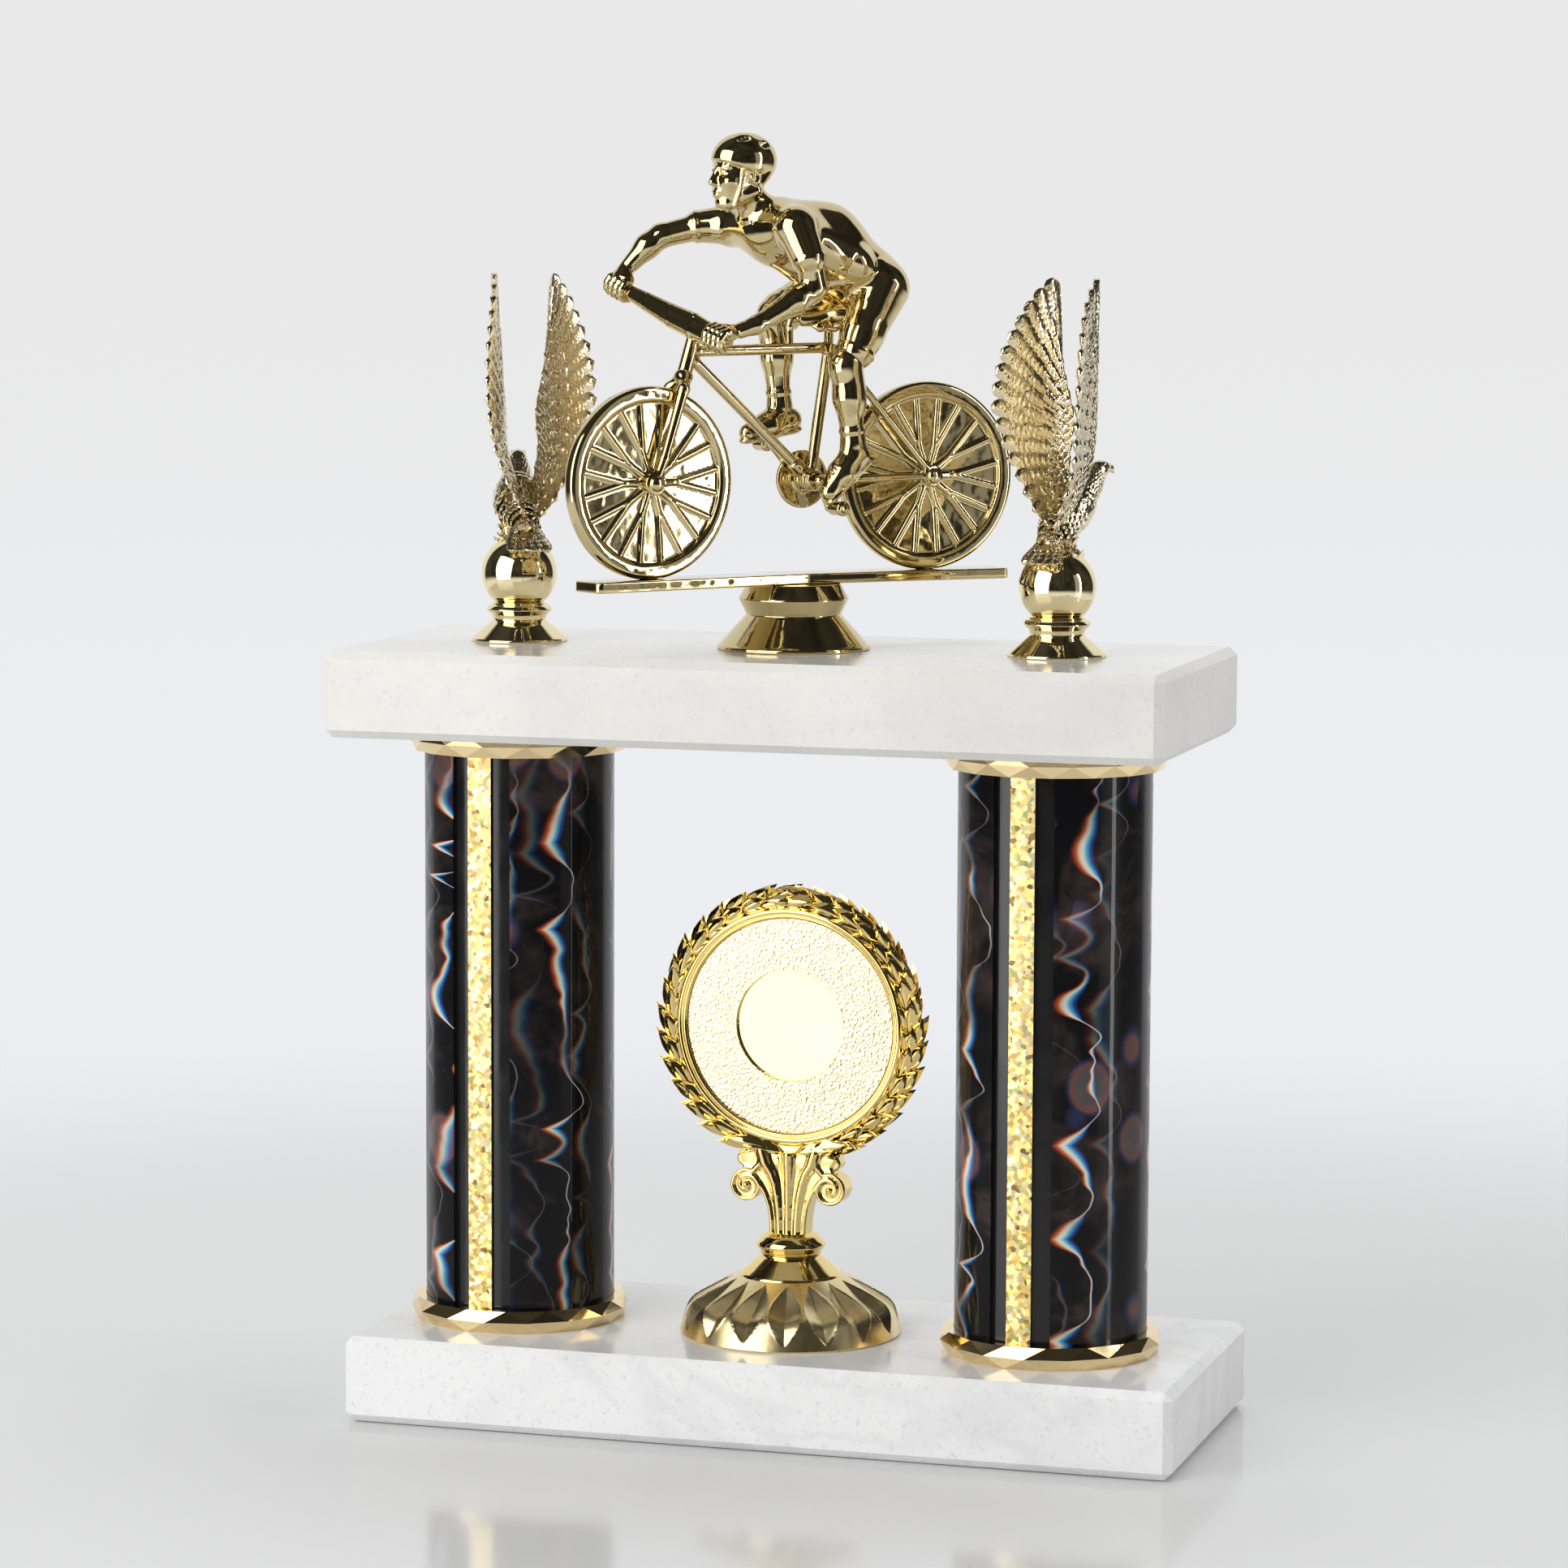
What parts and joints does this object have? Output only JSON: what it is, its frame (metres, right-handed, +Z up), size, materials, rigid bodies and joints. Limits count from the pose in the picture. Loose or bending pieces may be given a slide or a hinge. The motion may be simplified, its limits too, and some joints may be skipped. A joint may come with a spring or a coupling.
{
  "type": "two-column cycling trophy",
  "caption": "Two-column award with marble slabs, wreath disc holder, a pair of eagles and a rider on a racing bicycle.",
  "frame": {"origin": "middle of the base slab's underside, on the surface the trophy stands on", "axes": "+Z up, -Y the front that the wreath disc faces, +X to the right seen from the front"},
  "size_m": [0.2035, 0.0939, 0.301],
  "materials": {
    "marble_base": "polished white marble, honed edges",
    "marble_top": "polished warm white marble, honed edges",
    "column_black": "gloss black extruded tube",
    "hologram_foil": "black holographic film, clear gloss face",
    "glitter_foil": "gold glitter film",
    "gold_plated": "polished champagne gold plating over moulded ABS",
    "gold_satin": "satin champagne gold plating over moulded ABS",
    "gold_feather": "pale champagne gold plating over moulded ABS",
    "zinc_steel": "zinc plated",
    "brass_insert": "machined"
  },
  "bodies": {
    "root": {"base_slab": "marble_base", "top_slab": "marble_top", "column_tube_left": "column_black", "column_tube_right": "column_black", "column_foil_left": "hologram_foil", "column_foil_right": "hologram_foil", "column_stripe_left": "glitter_foil", "column_stripe_right": "glitter_foil", "ring_bottom_left": "gold_plated", "ring_bottom_right": "gold_plated", "ring_top_left": "gold_plated", "ring_top_right": "gold_plated", "tie_rod_left": "zinc_steel", "tie_rod_right": "zinc_steel", "tie_rod_nuts": "zinc_steel", "tie_rod_washers": "zinc_steel"},
    "holder": {"holder_skirt": "gold_satin", "holder_stem": "gold_plated", "wreath_holder": "gold_plated", "holder_bolt": "zinc_steel", "holder_washer": "zinc_steel"},
    "figure": {"figure_riser": "gold_plated", "figure_plate": "gold_plated", "front_wheel": "gold_plated", "rear_wheel": "gold_plated", "bike_frame": "gold_plated", "fork": "gold_plated", "handlebar": "gold_plated", "crank_set": "gold_plated", "saddle": "gold_plated", "rider": "gold_plated", "left_lower_leg": "gold_plated", "right_lower_leg": "gold_plated", "figure_bolt": "zinc_steel", "figure_washer": "zinc_steel"},
    "eagle_left_body": {"eagle_left": "gold_feather", "eagle_pedestal_left": "gold_plated", "eagle_insert_left": "brass_insert"},
    "eagle_right_body": {"eagle_right": "gold_feather", "eagle_pedestal_right": "gold_plated", "eagle_insert_right": "brass_insert"}
  },
  "joints": [
    {"name": "holder_swivel", "type": "hinge", "parent": "root", "child": "holder", "pos_m": [-0.0012, -0.0025, 0.0204], "axis": [0, 0, 1], "range_deg": [-45, 45]},
    {"name": "figure_swivel", "type": "hinge", "parent": "root", "child": "figure", "pos_m": [-0.0012, -0.0025, 0.1832], "axis": [0, 0, 1], "range_deg": [-8, 25]},
    {"name": "eagle_left_swivel", "type": "hinge", "parent": "root", "child": "eagle_left_body", "pos_m": [-0.0693, -0.0025, 0.1832], "axis": [0, 0, 1], "range_deg": [-35, 35]},
    {"name": "eagle_right_swivel", "type": "hinge", "parent": "root", "child": "eagle_right_body", "pos_m": [0.0623, -0.0025, 0.1832], "axis": [0, 0, 1], "range_deg": [-35, 35]}
  ]
}
